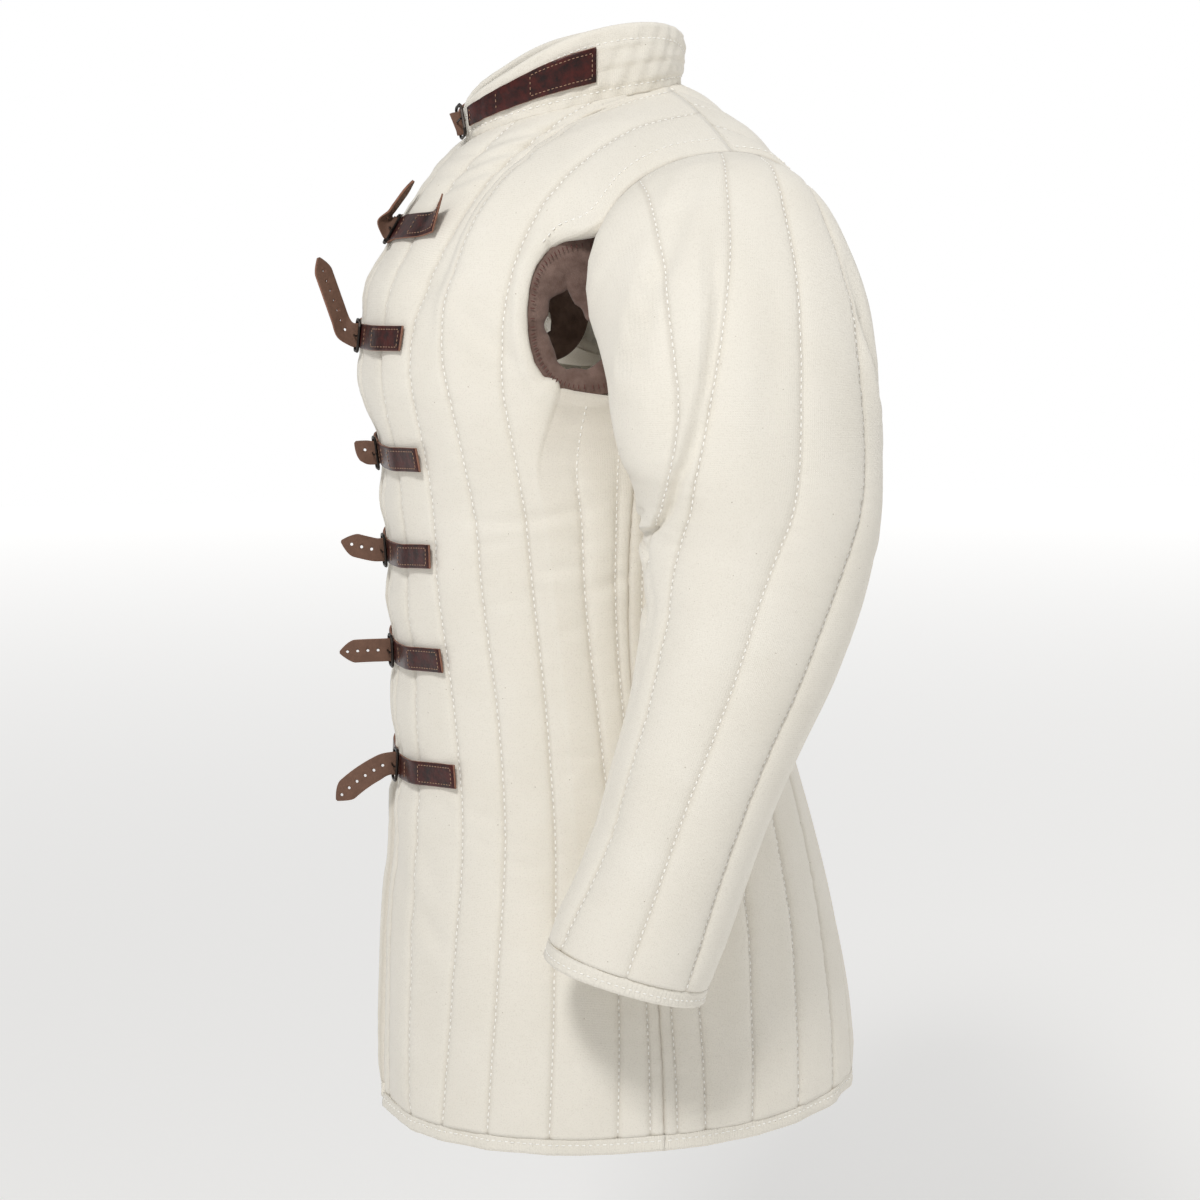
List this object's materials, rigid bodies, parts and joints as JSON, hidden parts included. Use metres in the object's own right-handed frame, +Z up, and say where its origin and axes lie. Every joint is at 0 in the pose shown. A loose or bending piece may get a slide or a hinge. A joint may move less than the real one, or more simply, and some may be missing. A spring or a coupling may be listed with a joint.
{
  "type": "gambeson",
  "caption": "Padded cloth coat quilted in lengthwise channels, with a stand collar, full sleeves, open leather armpit gussets and a front closed by buckled straps.",
  "frame": {"origin": "middle of the neck opening at the height of the nape, where the shoulders carry the garment", "axes": "+Z up, the front of the garment faces -Y, +X to the wearer's left"},
  "size_m": [0.6916, 0.4774, 0.9038],
  "materials": {
    "cloth": "undyed seeded cotton canvas",
    "hem_band": "undyed cotton canvas, topstitched",
    "suede": "brown suede",
    "strap_leather": "smooth dark oxblood strap leather",
    "buckle_metal": "dark burnished iron"
  },
  "bodies": {
    "root": {"front_left": "cloth", "front_right": "cloth", "back": "cloth", "collar": "cloth", "sleeve_left": "cloth", "sleeve_right": "cloth", "front_left_hem": "hem_band", "front_right_hem": "hem_band", "back_hem": "hem_band", "cuff_left": "hem_band", "cuff_right": "hem_band", "gusset_left": "suede", "gusset_right": "suede", "tab_collar": "strap_leather", "strap_collar": "strap_leather", "buckle_collar": "buckle_metal", "prong_collar": "buckle_metal", "tab_1": "strap_leather", "strap_1": "strap_leather", "buckle_1": "buckle_metal", "prong_1": "buckle_metal", "tab_2": "strap_leather", "strap_2": "strap_leather", "buckle_2": "buckle_metal", "prong_2": "buckle_metal", "tab_3": "strap_leather", "strap_3": "strap_leather", "buckle_3": "buckle_metal", "prong_3": "buckle_metal", "tab_4": "strap_leather", "strap_4": "strap_leather", "buckle_4": "buckle_metal", "prong_4": "buckle_metal", "tab_5": "strap_leather", "strap_5": "strap_leather", "buckle_5": "buckle_metal", "prong_5": "buckle_metal", "tab_6": "strap_leather", "strap_6": "strap_leather", "buckle_6": "buckle_metal", "prong_6": "buckle_metal"}
  },
  "joints": []
}
